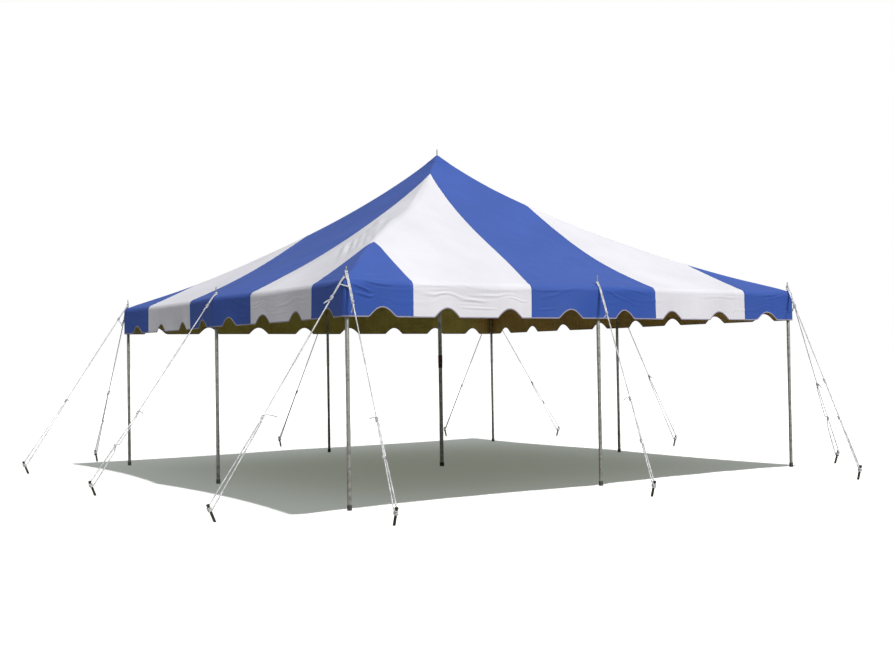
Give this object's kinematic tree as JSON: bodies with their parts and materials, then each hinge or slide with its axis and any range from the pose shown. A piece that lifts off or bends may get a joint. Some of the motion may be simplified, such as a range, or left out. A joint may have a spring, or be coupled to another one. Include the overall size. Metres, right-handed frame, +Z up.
{
  "type": "square pole tent",
  "caption": "Square pole tent with a striped, dipping canopy and scalloped valance on a centre pole and side poles, held out by guy ropes to ground stakes.",
  "frame": {"origin": "on the ground, under the middle of the centre pole's foot", "axes": "+Z up along the centre pole; +X and +Y square to the sides of the tent, -Y out of the front side"},
  "size_m": [9.2815, 9.2574, 4.075],
  "materials": {
    "blue_vinyl": "satin coated fabric",
    "white_vinyl": "satin coated fabric",
    "pole_steel": "dull galvanised",
    "cap_rubber": "matt",
    "rope": "laid rope",
    "stake_steel": "forged, worn"
  },
  "bodies": {
    "root": {"canopy_back_blue": "blue_vinyl", "canopy_back_left_blue": "blue_vinyl", "canopy_back_left_white": "white_vinyl", "canopy_back_right_blue": "blue_vinyl", "canopy_back_right_white": "white_vinyl", "canopy_front_blue": "blue_vinyl", "canopy_front_left_blue": "blue_vinyl", "canopy_front_left_white": "white_vinyl", "canopy_front_right_blue": "blue_vinyl", "canopy_front_right_white": "white_vinyl", "canopy_left_blue": "blue_vinyl", "canopy_peak_patch": "blue_vinyl", "canopy_right_blue": "blue_vinyl", "centre_pole_lower": "pole_steel", "centre_pole_sleeve": "pole_steel", "centre_pole_upper": "pole_steel", "foot_back_left": "cap_rubber", "foot_back_middle": "cap_rubber", "foot_back_right": "cap_rubber", "foot_centre": "cap_rubber", "foot_front_left": "cap_rubber", "foot_front_middle": "cap_rubber", "foot_front_right": "cap_rubber", "foot_left_middle": "cap_rubber", "foot_right_middle": "cap_rubber", "guy_rope_back_left": "rope", "guy_rope_back_middle": "rope", "guy_rope_back_right": "rope", "guy_rope_front_left": "rope", "guy_rope_front_middle": "rope", "guy_rope_front_right": "rope", "guy_rope_left_middle": "rope", "guy_rope_right_middle": "rope", "pole_back_left": "pole_steel", "pole_back_middle": "pole_steel", "pole_back_right": "pole_steel", "pole_front_left": "pole_steel", "pole_front_middle": "pole_steel", "pole_front_right": "pole_steel", "pole_left_middle": "pole_steel", "pole_right_middle": "pole_steel", "stake_back_left_1": "stake_steel", "stake_back_left_2": "stake_steel", "stake_back_middle": "stake_steel", "stake_back_right_1": "stake_steel", "stake_back_right_2": "stake_steel", "stake_front_left_1": "stake_steel", "stake_front_left_2": "stake_steel", "stake_front_middle": "stake_steel", "stake_front_right_1": "stake_steel", "stake_front_right_2": "stake_steel", "stake_left_middle": "stake_steel", "stake_right_middle": "stake_steel"}
  },
  "joints": []
}
